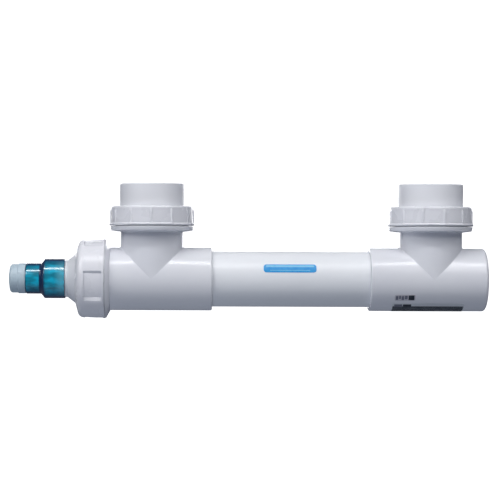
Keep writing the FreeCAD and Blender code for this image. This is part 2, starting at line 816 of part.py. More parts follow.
flow_tube()
tee("inlet_tee", -port_x, d.lamp_arm, d.inlet_arm, [(d.inlet_arm, d.edge_round)])
tee("outlet_tee", port_x, d.tee_arm, d.blind_arm,
    [(-d.tee_arm, d.edge_round), (d.blind_arm, d.blind_round)])
end_plug()
sleeve_cushion()
lamp_thread_end()
lamp_end_seal()
for side, port_place, nut_spin in (("inlet", -port_x, -90.0), ("outlet", port_x, -103.0)):
    port_thread_end(f"{side}_thread_end", port_place)
    port_seal(f"{side}_port_seal", port_place)
    tailpiece(f"{side}_tailpiece", port_place)
    port_nut(f"{side}_union_nut", port_place, nut_spin)
film("rating_label", fitting_radius, d.label_start, d.label_end, d.label_angle)
film("spec_sticker", fitting_radius, d.sticker_start, d.sticker_end, d.sticker_angle)
film("tube_decal", pipe_radius, d.decal_start, d.decal_end, d.decal_angle)

sleeve_adapter()
quartz_sleeve()
sleeve_seal()
lamp_union_nut()
gland_follower()
quartz_cap()

lamp_cap()
cap_seal()
cable_grommet()
lamp_socket()
socket_contacts()

lamp_tube()
lamp_base()
lamp_end_cap()
lamp_electrodes()
join("lamp_pins", rods("pin", d.pin_radius, d.pin_offset, LAMP_PINS, d.lamp_foot,
                       d.lamp_foot + d.pin_length))
join("lamp_return_leads", rods("lead", d.lead_radius, d.lead_offset, 2, cap_mouth, base_front))


def sub_parts():
    """Every finished sub-part: the bodies, and the Part results that nothing else uses."""
    finished = []
    for item in doc.Objects:
        if item.isDerivedFrom("PartDesign::Body"):
            finished.append(item)
        elif item.TypeId in ("Part::MultiFuse", "Part::Cut") and not item.InList:
            finished.append(item)
    return finished


def check(parts):
    """Stop if any object has failed or any sub-part has no valid shape."""
    failed = [item.Name for item in doc.Objects if {"Invalid", "Error"} & set(item.State)]
    bad = [item.Label for item in parts if item.Shape.isNull() or not item.Shape.isValid()]
    if failed or bad:
        raise RuntimeError(f"failed objects {failed}, bad shapes {bad}")


doc.recompute()
pieces = sub_parts()
check(pieces)
os.makedirs("parts", exist_ok=True)
for item in pieces:
    item.Shape.exportStep(f"parts/{item.Label}.step")
    box = item.Shape.BoundBox
    print(f"{item.Label:20s} solids {len(item.Shape.Solids)} volume {item.Shape.Volume:10.1f} "
          f"x {box.XMin:7.1f} {box.XMax:7.1f} z {box.ZMin:6.1f} {box.ZMax:6.1f}")
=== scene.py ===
import math

import bmesh
import bpy
from mathutils import Matrix, Vector


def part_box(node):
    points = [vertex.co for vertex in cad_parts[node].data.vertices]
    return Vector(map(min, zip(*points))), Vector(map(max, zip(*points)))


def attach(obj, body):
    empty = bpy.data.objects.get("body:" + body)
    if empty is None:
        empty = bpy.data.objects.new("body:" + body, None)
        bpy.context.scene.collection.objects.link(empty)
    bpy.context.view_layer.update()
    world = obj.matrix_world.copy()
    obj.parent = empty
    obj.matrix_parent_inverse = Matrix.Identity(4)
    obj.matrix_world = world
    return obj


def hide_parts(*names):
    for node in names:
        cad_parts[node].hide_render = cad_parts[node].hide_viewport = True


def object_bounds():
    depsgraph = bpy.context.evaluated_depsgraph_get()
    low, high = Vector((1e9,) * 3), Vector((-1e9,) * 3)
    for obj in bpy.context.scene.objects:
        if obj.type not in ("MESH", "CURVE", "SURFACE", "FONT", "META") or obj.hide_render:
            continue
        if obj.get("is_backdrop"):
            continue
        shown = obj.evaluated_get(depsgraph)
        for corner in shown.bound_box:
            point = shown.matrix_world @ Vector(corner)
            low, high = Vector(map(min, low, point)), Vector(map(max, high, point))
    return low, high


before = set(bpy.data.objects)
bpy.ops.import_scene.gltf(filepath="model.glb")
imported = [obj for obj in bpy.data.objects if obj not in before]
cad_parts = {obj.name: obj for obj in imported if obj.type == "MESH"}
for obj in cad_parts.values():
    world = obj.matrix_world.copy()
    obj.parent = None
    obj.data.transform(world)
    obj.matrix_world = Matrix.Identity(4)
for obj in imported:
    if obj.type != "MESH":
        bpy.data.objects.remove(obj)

# The looks of an inline ultraviolet clarifier. Outlines are drawn in millimetres as (radius,
# height) about each piece's own axis; a third number rounds that corner. Places and outer sizes
# are read from the frame, and only what a node's box can't say is named here.

CAD_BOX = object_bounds()
MM = 0.001
FULL_TURN = 2 * math.pi
COLUMNS = 96
MERGE = 1e-6

# Axes of the pieces: local Z is the axis, and local X is up on the pieces that lie down.
TOWARDS_LAMP = Matrix(((0, 0, -1, 0), (0, 1, 0, 0), (1, 0, 0, 0), (0, 0, 0, 1)))
TOWARDS_BLIND = Matrix(((0, 0, 1, 0), (0, 1, 0, 0), (-1, 0, 0, 0), (0, 0, 0, 1)))

# Wall sizes that the nodes' boxes don't give, in millimetres.
PIPE_RADIUS = 30.15
PIPE_BORE = 26.25
SOCKET_RADIUS = 30.25
SOCKET_STOP = 31.25
RING_SECTION = 2.0
PORT_RING_RADIUS = 33.5
LAMP_RING_RADIUS = 32.0
SLEEVE_PASS = 11.9
SEAL_POCKET = 15.6
PORT_PITCH = 4.0
NOSE_PITCH = 2.6
PORT_THREAD = 41.0
LAMP_THREAD = 37.5
NOSE_THREAD = 18.6
THREAD_GAP = 0.4
THREAD_DEPTH = 1.1
NOSE_DEPTH = 0.7
FILM_THICK = 0.12
INK_THICK = 0.04
PORT_RIBS = 12
LAMP_LUGS = 4

# One turn of a thread, as shares of its pitch and of its depth.
RIDGE = ((0.0, 0.0), (0.26, 0.0), (0.36, 0.55), (0.42, 1.0), (0.58, 1.0), (0.64, 0.55), (0.74, 0.0))

# Each printed film's inner radius, and its lower and upper edge in degrees up from the front.
LABEL_PLACES = {
    "rating_label": (34.45, (-133.0, -47.0)),
    "spec_sticker": (34.45, (-39.8, -27.2)),
    "tube_decal": (30.2, (15.0, 33.0)),
}


# ---- measures of the frame -----------------------------------------------------------------

def in_mm(node):
    low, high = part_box(node)
    return low / MM, high / MM


def along_lamp(node):
    """Back, front and radius of a piece whose axis points at the lamp end."""
    low, high = in_mm(node)
    return -high.x, -low.x, (high.y - low.y) / 2


def along_blind(node):
    low, high = in_mm(node)
    return low.x, high.x, (high.y - low.y) / 2


def upright(node):
    """Foot, top, radius and X of a piece whose axis stands up."""
    low, high = in_mm(node)
    return low.z, high.z, (high.y - low.y) / 2, (high.x + low.x) / 2


def standing_at(x):
    return Matrix.Translation((x * MM, 0, 0))


# ---- mesh work -----------------------------------------------------------------------------

def eased(outline, steps=4):
    """Round the corners of an outline that have a third number."""
    rounded = []
    for index, corner in enumerate(outline):
        here = Vector(corner[:2])
        if len(corner) < 3:
            rounded.append(here)
            continue
        before = (Vector(outline[index - 1][:2]) - here).normalized()
        after = (Vector(outline[(index + 1) % len(outline)][:2]) - here).normalized()
        half = before.angle(after) / 2
        centre = here + (before + after).normalized() * corner[2] / math.sin(half)
        first = here + before * corner[2] / math.tan(half) - centre
        last = here + after * corner[2] / math.tan(half) - centre
        for step in range(steps + 1):
            rounded.append(centre + first.lerp(last, step / steps).normalized() * corner[2])
    return rounded


def even_angles(count):
    return [FULL_TURN * index / count for index in range(count)]


def grouped_angles(count, first, offsets):
    """The same offsets, in degrees, about each of several evenly spaced angles."""
    centres = [first + 360.0 * index / count for index in range(count)]
    degrees = [(centre + offset) % 360.0 for centre in centres for offset in offsets]
    return [math.radians(angle) for angle in sorted(degrees)]


def smooth(share):
    share = min(1.0, max(0.0, share))
    return share * share * (3 - 2 * share)


def window(value, low, high, ramp):
    """1 between low and high, falling to 0 over a ramp outside them."""
    return smooth((value - low) / ramp + 1) * smooth((high - value) / ramp + 1)


def from_centre(angle, first, count):
    """Degrees from an angle to the nearest of several evenly spaced ones."""
    period = 360.0 / count
    return (math.degrees(angle) - first + period / 2) % period - period / 2


class Skin:
    """A mesh made of rows of points about an axis."""

    def __init__(self, name, axis, angles=None):
        self.name = name
        self.axis = axis
        self.angles = angles or even_angles(COLUMNS)
        self.bm = bmesh.new()
        self.paint = 0

    def vertex(self, x, y, z):
        return self.bm.verts.new(self.axis @ (Vector((x, y, z)) * MM))

    def polar(self, radius, angle, height):
        return self.vertex(radius * math.cos(angle), radius * math.sin(angle), height)

    def ring(self, radius, height, shape=None):
        row = []
        for angle in self.angles:
            reach = radius + shape(radius, height, angle) if shape else radius
            row.append(self.polar(reach, angle, height))
        return row

    def face(self, corners):
        made = self.bm.faces.new(corners)
        made.material_index = self.paint

    def join(self, low, high, closed=True):
        total = len(low)
        for index in range(total if closed else total - 1):
            after = (index + 1) % total
            self.face((low[index], low[after], high[after], high[index]))

    def turn(self, outline, shape=None, closed=True):
        """Turn an outline about the axis; shape adds to a point's radius."""
        rings = [self.ring(radius, height, shape) for radius, height in eased(outline)]
        for low, high in zip(rings, rings[1:] + rings[:1] if closed else rings[1:]):
            self.join(low, high)

    def thread(self, root, depth, low, high, pitch, phase=0.0):
        """A helical ridge on a round wall; a negative depth stands inwards."""
        turns = math.ceil((high - low) / pitch) + 2
        base = math.floor(low / pitch) * pitch
        run_out = 0.3 * pitch
        rows = []
        for turn in range(-1, turns):
            for share, rise in RIDGE:
                row = []
                for angle in self.angles:
                    height = (turn + share + phase + angle / FULL_TURN) * pitch
                    height = min(high, max(low, base + height))
                    fade = smooth(min(height - low, high - height) / run_out)
                    row.append(self.polar(root + depth * rise * fade, angle, height))
                rows.append(row)
        for index in range(len(rows) - 1 - len(RIDGE)):
            low_row = rows[index] + [rows[index + len(RIDGE)][0]]
            high_row = rows[index + 1] + [rows[index + 1 + len(RIDGE)][0]]
            self.join(low_row, high_row, closed=False)

    def sweep(self, points, radius, sides=10):
        """A round wire along points."""
        points = [Vector(point) for point in points]
        side = Vector((0.3, 0.5, 0.9))
        rings = []
        for index, point in enumerate(points):
            after = points[min(index + 1, len(points) - 1)]
            before = points[max(index - 1, 0)]
            ahead = (after - before).normalized()
            side = (side - ahead * side.dot(ahead)).normalized()
            across = ahead.cross(side)
            ring = []
            for angle in even_angles(sides):
                spot = point + (side * math.cos(angle) + across * math.sin(angle)) * radius
                ring.append(self.vertex(*spot))
            rings.append(ring)
        for low, high in zip(rings, rings[1:]):
            self.join(low, high)
        self.face(rings[0])
        self.face(rings[-1])

    def finish(self, materials, body, nodes, sharp=32.0):
        """Make the object, hang it on the empty of the body it rides on, and hide the nodes it
        stands for.
        """
        bmesh.ops.remove_doubles(self.bm, verts=self.bm.verts, dist=MERGE)
        bmesh.ops.dissolve_degenerate(self.bm, dist=MERGE / 10, edges=self.bm.edges)
        bmesh.ops.recalc_face_normals(self.bm, faces=self.bm.faces)
        mesh = bpy.data.meshes.new(self.name)
        self.bm.to_mesh(mesh)
        self.bm.free()
        mesh.shade_smooth()
        mesh.set_sharp_from_angle(angle=math.radians(sharp))
        piece = bpy.data.objects.new(self.name, mesh)
        bpy.context.scene.collection.objects.link(piece)
        for material in materials:
            mesh.materials.append(material)
        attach(piece, body)
        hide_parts(*nodes)
        return piece


# ---- materials -----------------------------------------------------------------------------

class Finish:
    """A node material with a Principled shader."""

    FIRST_COLOUR, SECOND_COLOUR, MIXED = 6, 7, 2  # sockets of a colour Mix node

    def __init__(self, name):
        self.material = bpy.data.materials.new(name)
        self.material.use_nodes = True
        self.tree = self.material.node_tree
        self.tree.nodes.clear()
        self.place = self.add("ShaderNodeTexCoord").outputs["Object"]

    def add(self, kind, inputs=None, **settings):
        node = self.tree.nodes.new(kind)
        for key, value in settings.items():
            setattr(node, key, value)
        for key, value in (inputs or {}).items():
            socket = node.inputs[key]
            if isinstance(value, bpy.types.NodeSocket):
                self.tree.links.new(value, socket)
            else:
                socket.default_value = value
        return node

    def stretched(self, scale):
        return self.add("ShaderNodeMapping", {"Vector": self.place, "Scale": scale}).outputs[0]

    def noise(self, scale, detail=3.0, rough=0.5, place=None):
        inputs = {"Vector": place or self.place, "Scale": scale, "Detail": detail,
                  "Roughness": rough}
        return self.add("ShaderNodeTexNoise", inputs).outputs["Fac"]

    def spread(self, value, low, high, start=0.3, end=0.7):
        """Map a texture's middle range to a range of values."""
        inputs = {"Value": value, "From Min": start, "From Max": end, "To Min": low, "To Max": high}
        return self.add("ShaderNodeMapRange", inputs).outputs[0]

    def blend(self, share, first, second):
        node = self.add("ShaderNodeMix", data_type="RGBA")
        self.tree.links.new(share, node.inputs["Factor"])
        for place, colour in ((self.FIRST_COLOUR, first), (self.SECOND_COLOUR, second)):
            if isinstance(colour, bpy.types.NodeSocket):
                self.tree.links.new(colour, node.inputs[place])
            else:
                node.inputs[place].default_value = (*colour, 1.0)
        return node.outputs[self.MIXED]

    def bump(self, height, distance, strength=0.5, below=None):
        inputs = {"Height": height, "Distance": distance, "Strength": strength}
        if below:
            inputs["Normal"] = below
        return self.add("ShaderNodeBump", inputs).outputs[0]

    def shade(self, colour, roughness, normal=None, **constants):
        """End in a Principled shader; the constants are its own sockets' values."""
        inputs = {"Base Color": colour, "Roughness": roughness}
        shader = self.add("ShaderNodeBsdfPrincipled", inputs)
        if normal:
            self.tree.links.new(normal, shader.inputs["Normal"])
        for key, value in constants.items():
            shader.inputs[key.replace("_", " ")].default_value = value
        output = self.add("ShaderNodeOutputMaterial")
        self.tree.links.new(shader.outputs[0], output.inputs[0])
        return self.material


def moulded(name, bright, dull, rough_low, rough_high, grain=700.0, depth=0.00003, scuffs=0.0):
    """Injection moulded plastic: faint mottling, fine orange peel and a few rubbed spots."""
    look = Finish(name)
    mottle = look.spread(look.noise(14.0, 4.0), 0.0, 1.0)
    colour = look.blend(mottle, bright, dull)
    if scuffs:
        marks = look.noise(1.0, 6.0, 0.75, look.stretched((60.0, 210.0, 90.0)))
        marked = look.spread(marks, 0.0, scuffs, 0.62, 0.72)
        colour = look.blend(marked, colour, tuple(0.8 * part for part in dull))
    roughness = look.spread(look.noise(45.0, 5.0), rough_low, rough_high)
    peel = look.bump(look.noise(grain, 2.0), depth, 0.35)
    waves = look.bump(look.noise(38.0, 1.0), 0.0004, 0.12, peel)
    return look.shade(colour, roughness, waves, IOR=1.54)


def extruded(name, bright, dull):
    """Drawn pipe: long faint die lines along X over a smooth wall."""
    look = Finish(name)
    lines = look.noise(1.0, 4.0, 0.6, look.stretched((3.0, 420.0, 420.0)))
    mottle = look.noise(9.0, 3.0)
    colour = look.blend(look.spread(mottle, 0.0, 1.0), bright, dull)
    roughness = look.spread(lines, 0.32, 0.42)
    drawn = look.bump(lines, 0.00006, 0.25)
    return look.shade(colour, roughness, drawn, IOR=1.54)


def tinted(name, colour, deep, pale, band, rim):
    """Clear coloured plastic: deep seen edge on, with painted shade in a band along X at the step,
    painted caustic light and shade in streaks, and pale at a rim.
    """
    look = Finish(name)
    along = look.add("ShaderNodeSeparateXYZ", {"Vector": look.place}).outputs["X"]
    facing = look.add("ShaderNodeLayerWeight", {"Blend": 0.5}).outputs["Facing"]
    # Stretched noise paints caustic light and shade in streaks along X.
    streaks = look.noise(1.0, 2.0, 0.5, look.stretched((70.0, 150.0, 150.0)))
    caustic_dark = tuple(0.45 * part for part in colour)
    caustic_painted = look.blend(look.spread(streaks, 0.0, 1.0, 0.38, 0.62), colour, caustic_dark)
    body = look.blend(look.spread(along, 0.0, 0.4, *rim), caustic_painted, pale)
    # The band along X is painted shade: the cap's dark step, drawn over its whole height.
    start, end = band
    enter = look.spread(along, 0.0, 1.0, start, start + 0.0015)
    leave = look.spread(along, 1.0, 0.0, end - 0.003, end)
    within = look.add("ShaderNodeMath", {0: enter, 1: leave}, operation="MULTIPLY").outputs[0]
    step_shaded = look.blend(within, body, deep)
    tint = look.blend(look.spread(facing, 0.0, 1.0, 0.1, 0.62), step_shaded, deep)
    roughness = look.spread(look.noise(60.0, 3.0), 0.16, 0.2)
    return look.shade(tint, roughness, IOR=1.5, Specular_IOR_Level=0.2, Transmission_Weight=0.08,
                      Coat_Weight=1.0, Coat_Roughness=0.2, Coat_IOR=1.8)


def clear(name, colour, haze):
    """Fused quartz with faint drawing lines and a little dust."""
    look = Finish(name)
    lines = look.noise(1.0, 3.0, 0.5, look.stretched((4.0, 260.0, 260.0)))
    dust = look.spread(look.noise(240.0, 6.0, 0.7), 0.0, 1.0, 0.55, 0.75)
    tint = look.blend(dust, colour, haze)
    roughness = look.spread(dust, 0.01, 0.09, 0.0, 1.0)
    return look.shade(tint, roughness, look.bump(lines, 0.00003, 0.2), IOR=1.458,
                      Transmission_Weight=0.97)


def rubber(name, colour, bloom):
    look = Finish(name)
    cloud = look.spread(look.noise(90.0, 5.0, 0.6), 0.0, 1.0)
    tint = look.blend(cloud, colour, bloom)
    roughness = look.spread(look.noise(300.0, 3.0), 0.55, 0.72)
    return look.shade(tint, roughness, look.bump(look.noise(1800.0, 2.0), 0.00004, 0.4), IOR=1.5)


def metal(name, colour, dull, rough_low, rough_high):
    """Drawn metal: fine lines along X and slight tarnish."""
    look = Finish(name)
    lines = look.noise(1.0, 3.0, 0.5, look.stretched((60.0, 3200.0, 3200.0)))
    tarnish = look.spread(look.noise(160.0, 4.0), 0.0, 1.0)
    tint = look.blend(tarnish, colour, dull)
    roughness = look.spread(lines, rough_low, rough_high)
    return look.shade(tint, roughness, look.bump(lines, 0.00002, 0.3), Metallic=1.0)


def printed(name, ink, worn, rough):
    """Ink on film: slightly uneven cover and a fine screen texture."""
    look = Finish(name)
    cover = look.spread(look.noise(150.0, 5.0, 0.65), 0.0, 1.0, 0.35, 0.8)
    tint = look.blend(cover, ink, worn)
    roughness = look.spread(look.noise(80.0, 3.0), rough, rough + 0.12)
    return look.shade(tint, roughness, look.bump(look.noise(1500.0, 2.0), 0.00002, 0.3), IOR=1.5)


PVC = moulded("pvc_moulded", (0.80, 0.81, 0.85), (0.77, 0.78, 0.83), 0.18, 0.27, scuffs=0.12)
PIPE = extruded("pvc_extruded", (0.85, 0.87, 0.905), (0.83, 0.85, 0.885))
NUT_WHITE = moulded("nut_moulded", (0.81, 0.815, 0.86), (0.78, 0.785, 0.83), 0.22, 0.32, scuffs=0.2)
TAIL_WHITE = moulded("tail_moulded", (0.80, 0.81, 0.85), (0.77, 0.78, 0.82), 0.3, 0.42, 900.0)
CAP_WHITE = moulded("cap_moulded", (0.53, 0.635, 0.71), (0.38, 0.485, 0.56), 0.38, 0.5, 500.0,
                    scuffs=0.7)
ADAPTER_WHITE = moulded("adapter_moulded", (0.76, 0.77, 0.81), (0.72, 0.74, 0.78), 0.3, 0.42)
# Its band along X is painted shade at the cap's step, and its streaks are painted caustic light and
# shade.
TEAL = tinted("teal_clear", (0.0, 0.50, 0.74), (0.0, 0.022, 0.085), (0.22, 0.62, 0.76),
              (-0.2755, -0.2670), (-0.258, -0.251))
GLAND = moulded("gland_moulded", (0.62, 0.62, 0.60), (0.55, 0.55, 0.53), 0.35, 0.5)
SOCKET = moulded("socket_moulded", (0.62, 0.60, 0.54), (0.55, 0.53, 0.48), 0.45, 0.6)
CERAMIC = moulded("lamp_ceramic", (0.80, 0.78, 0.72), (0.74, 0.72, 0.66), 0.25, 0.4, 1400.0)
SHEATH = moulded("lead_sheath", (0.82, 0.81, 0.78), (0.75, 0.74, 0.71), 0.4, 0.55, 1600.0)
QUARTZ = clear("quartz_clear", (0.96, 0.98, 0.99), (0.86, 0.89, 0.9))
LAMP_GLASS = clear("lamp_quartz", (0.95, 0.97, 1.0), (0.82, 0.86, 0.92))
BLACK_RUBBER = rubber("seal_rubber", (0.016, 0.016, 0.018), (0.035, 0.035, 0.038))
BRASS = metal("contact_brass", (0.78, 0.58, 0.27), (0.6, 0.43, 0.2), 0.22, 0.4)
NICKEL = metal("electrode_nickel", (0.66, 0.65, 0.62), (0.5, 0.49, 0.46), 0.2, 0.38)
FILM = printed("label_film", (0.66, 0.69, 0.72), (0.58, 0.61, 0.65), 0.3)
STICKER = printed("sticker_film", (0.56, 0.55, 0.60), (0.50, 0.49, 0.54), 0.3)
INK = printed("label_ink", (0.018, 0.024, 0.034), (0.05, 0.065, 0.085), 0.3)
GREY_INK = printed("label_grey", (0.19, 0.20, 0.25), (0.12, 0.13, 0.17), 0.35)
DEEP_BLUE = printed("decal_deep", (0.01, 0.28, 0.70), (0.04, 0.38, 0.76), 0.35)
LIGHT_BLUE = printed("decal_light", (0.12, 0.50, 0.78), (0.20, 0.56, 0.80), 0.25)


# ---- housing -------------------------------------------------------------------------------

def tee(node, x, left_end, right_end):
    """A tee with a rounded seam where the branch meets the run, and a socket in each end.

    An end is its distance from the branch's axis and the size of its rounded edge."""
    outer = (in_mm(node)[1].y - in_mm(node)[0].y) / 2
    top = in_mm(node)[1].z
    seam = 1.6
    lead = 0.8
    skin = Skin(f"{node}_look", standing_at(x))

    def across(radius, angle):
        return Vector((0, radius * math.sin(angle), radius * math.cos(angle)))

    for side, arm, corner in ((-1, *left_end), (1, *right_end)):
        profile = eased([
            (outer, arm - 4.0), (outer, arm, corner), (SOCKET_RADIUS + lead, arm),
            (SOCKET_RADIUS, arm - lead), (SOCKET_RADIUS, SOCKET_STOP), (PIPE_BORE, SOCKET_STOP),
        ])
        rows = [[(outer, (outer + seam) * max(0.0, math.cos(angle))) for angle in skin.angles]]
        rows += [[(radius, along) for angle in skin.angles] for radius, along in profile]
        rows += [[(PIPE_BORE, PIPE_BORE * max(0.0, math.cos(angle))) for angle in skin.angles]]
        made = []
        for row in rows:
            spots = [across(radius, angle) + Vector((side * along, 0, 0))
                     for (radius, along), angle in zip(row, skin.angles)]
            made.append([skin.vertex(*spot) for spot in spots])
        for low, high in zip(made, made[1:]):
            skin.join(low, high)

    profile = [
        (outer, top), (SOCKET_RADIUS, top), (SOCKET_RADIUS, SOCKET_STOP), (PIPE_BORE, SOCKET_STOP),
    ]
    seam_steps = 5
    rings = []
    for step in range(seam_steps + 1):
        ring = []
        for angle in skin.angles:
            level = abs(math.cos(angle))
            centre = Vector((math.cos(angle), math.sin(angle), level)) * (outer + seam)
            on_run = Vector((0, -math.sin(angle), -level)) * seam
            on_branch = Vector((-math.cos(angle), -math.sin(angle), 0)) * seam
            out = on_run.lerp(on_branch, step / seam_steps).normalized()
            ring.append(skin.vertex(*(centre + out * seam)))
        rings.append(ring)
    rings += [skin.ring(radius, height) for radius, height in profile]
    rings.append([skin.polar(PIPE_BORE, angle, PIPE_BORE * abs(math.cos(angle)))
                  for angle in skin.angles])
    for low, high in zip(rings, rings[1:]):
        skin.join(low, high)
    skin.finish([PVC], "housing", [node])


def port_thread_end(node):
    """The fixed half of a port's union: thick flange, seal groove and male thread."""
    foot, top, flange, x = upright(node)
    seat = top - 18.6
    face = top - 12.6
    root = PORT_THREAD - THREAD_DEPTH
    inner = PORT_RING_RADIUS - RING_SECTION - 0.1
    outer = PORT_RING_RADIUS + RING_SECTION + 0.1
    floor = top - 2 * RING_SECTION + 0.2
    skin = Skin(f"{node}_look", standing_at(x))
    skin.turn([
        (root, top - 0.6), (root - 0.6, top), (outer, top, 0.2), (outer, floor), (inner, floor),
        (inner, top, 0.2), (PIPE_BORE, top, 0.5), (PIPE_BORE, foot), (PIPE_RADIUS - 0.6, foot),
        (PIPE_RADIUS, foot + 0.8), (PIPE_RADIUS, seat), (fitting_outer(), seat),
        (fitting_outer() + 2.1, seat + 0.2, 1.5), (flange - 1.1, seat + 1.4, 0.8),
        (flange, face, 0.5), (root, face), (root, face + 0.5),
    ], closed=False)
    skin.thread(root, THREAD_DEPTH, face + 0.5, top - 0.6, PORT_PITCH)
    skin.finish([PVC], "housing", [node])


def fitting_outer():
    low, high = in_mm("outlet_tee")
    return (high.y - low.y) / 2


def lamp_thread_end():
    foot, top, flange = along_lamp("lamp_thread_end")
    face = top - 19.5
    seat = face - 5.0
    root = LAMP_THREAD - THREAD_DEPTH
    inner = LAMP_RING_RADIUS - RING_SECTION - 0.1
    outer = LAMP_RING_RADIUS + RING_SECTION + 0.1
    floor = top - 2 * RING_SECTION + 0.2
    skin = Skin("lamp_thread_end_look", TOWARDS_LAMP)
    skin.turn([
        (root, top - 0.6), (root - 0.6, top), (outer, top, 0.2), (outer, floor), (inner, floor),
        (inner, top, 0.2), (PIPE_BORE, top, 0.5), (PIPE_BORE, foot), (PIPE_RADIUS - 0.6, foot),
        (PIPE_RADIUS, foot + 0.8), (PIPE_RADIUS, seat), (fitting_outer(), seat),
        (flange - 0.7, face - 0.6, 0.4), (flange, face, 0.2), (root, face), (root, face + 0.5),
    ], closed=False)
    skin.thread(root, THREAD_DEPTH, face + 0.5, top - 0.6, PORT_PITCH)
    skin.finish([PVC], "housing", ["lamp_thread_end"])


def seal_ring(node, radius, section, middle, axis, body):
    """A rubber ring with the thin flash line that its mould leaves."""
    skin = Skin(f"{node}_look", axis)
    outline = []
    for angle in even_angles(20):
        flash = 0.06 * section * max(0.0, 1 - abs(math.sin(angle)) * 4)
        outline.append((radius + (section - 0.02 + flash) * math.cos(angle) - 0.04 * section,
                        middle + (section - 0.02) * math.sin(angle)))
    skin.turn(outline)
    skin.finish([BLACK_RUBBER], body, [node], 60.0)


def patch(skin, radius, thick, x_range, angle_range, corner, paint):
    """A thin rounded rectangle wrapped on the tube: angles are in degrees up from the front."""
    skin.paint = paint
    start, end = x_range
    low, high = (math.radians(angle) for angle in angle_range)
    half = (end - start) / 2
    rise = (high - low) * radius / 2
    bend, rows_between, columns = 4, 12, 4
    levels = [-rise + corner * (1 - math.cos(step * math.pi / (2 * bend))) for step in range(bend)]
    levels += [-rise + corner + (2 * rise - 2 * corner) * step / rows_between
               for step in range(rows_between + 1)]
    levels += [-level for level in reversed(levels[:bend])]
    layers = []
    for reach in (radius, radius + thick):
        rows = []
        for level in levels:
            into = max(0.0, abs(level) - (rise - corner))
            width = half - corner + math.sqrt(max(0.0, corner ** 2 - into ** 2))
            angle = (low + high) / 2 + level / radius
            row = [skin.vertex(start + half + width * step / columns, -reach * math.cos(angle),
                               reach * math.sin(angle)) for step in range(-columns, columns + 1)]
            rows.append(row)
        layers.append(rows)
    for rows in layers:
        for under, over in zip(rows, rows[1:]):
            skin.join(under, over, closed=False)
    inside, outside = layers
    rims = [[[row[side] for row in rows] for rows in layers] for side in (0, -1)]
    for lower, upper in [(inside[0], outside[0]), (inside[-1], outside[-1]), *rims]:
        skin.join(lower, upper, closed=False)


def label(node, materials, corner, prints):
    """A film with printed areas on it, each given as shares of the film's width and height."""
    low, high = in_mm(node)
    skin = Skin(f"{node}_look", Matrix.Identity(4))
    film_radius, angles = LABEL_PLACES[node]
    patch(skin, film_radius, FILM_THICK, (low.x, high.x), angles, corner, 0)
    width, height = high.x - low.x, angles[1] - angles[0]
    for left, right, bottom, top, paint in prints:
        x_range = (low.x + left * width, low.x + right * width)
        angle_range = (angles[0] + bottom * height, angles[0] + top * height)
        patch(skin, film_radius + FILM_THICK, INK_THICK, x_range, angle_range, 0.4, paint)
    skin.finish(materials, "housing", [node])


def end_plug():
    """The blind end: a glued skirt, a flat end with a moulded rim, and the finned cup inside."""
    foot, end, _ = along_blind("end_plug")
    wall = end - 6.0
    cup_mouth = in_mm("quartz_sleeve")[1].x - 13.0
    cup_inner = SLEEVE_PASS + 0.1
    cup_outer = cup_inner + 2.2
    fins = 4
    skin = Skin("end_plug_look", TOWARDS_BLIND)
    skin.turn([
        (0, wall - 3.0), (cup_inner, wall - 3.0), (cup_inner, cup_mouth, 0.5),
        (cup_outer, cup_mouth, 0.5), (cup_outer, wall, 1.0), (PIPE_BORE, wall, 1.0),
        (PIPE_BORE, foot), (PIPE_RADIUS - 0.6, foot), (PIPE_RADIUS, foot + 0.8),
        (PIPE_RADIUS, end, 0.5), (PIPE_BORE - 1.0, end, 0.4), (PIPE_BORE - 2.2, end - 1.1, 0.4),
        (8.0, end - 1.1), (7.6, end - 1.3), (3.0, end - 1.3), (2.4, end - 0.8, 0.3), (0, end - 0.8),
    ])
    for turn in range(fins):
        angle = FULL_TURN * (turn + 0.5) / fins
        out = Vector((math.cos(angle), math.sin(angle), 0))
        side = Vector((-math.sin(angle), math.cos(angle), 0))
        layers = []
        for share in (-1, 1):
            corners = []
            for reach, height in ((cup_outer - 0.3, wall + 0.3), (cup_outer - 0.3, foot + 4.0),
                                  (PIPE_BORE + 0.3, foot + 4.0), (PIPE_BORE + 0.3, wall + 0.3)):
                half = 0.9 + 0.4 * (height - foot) / (wall - foot)
                corners.append(skin.vertex(*(out * reach + side * share * half
                                             + Vector((0, 0, height)))))
            layers.append(corners)
        skin.join(*layers)
        skin.face(layers[0])
        skin.face(layers[1])
    skin.finish([PVC], "housing", ["end_plug"])


# ---- unions of the ports -------------------------------------------------------------------

def tailpiece(node, body):
    foot, top, flange, x = upright(node)
    hub = 35.3
    mouth = 30.3
    shelf = foot + 4.5
    stop = top - 29.0
    skin = Skin(f"{node}_look", standing_at(x))
    skin.turn([
        (PIPE_BORE, foot, 0.4), (flange, foot, 0.4), (flange, shelf, 0.4), (hub, shelf, 0.6),
        (hub, top, 1.3), (mouth + 0.9, top, 0.4), (mouth, top - 1.2), (mouth - 0.05, stop),
        (PIPE_BORE, stop, 0.5),
    ])
    skin.finish([TAIL_WHITE], body, [node])


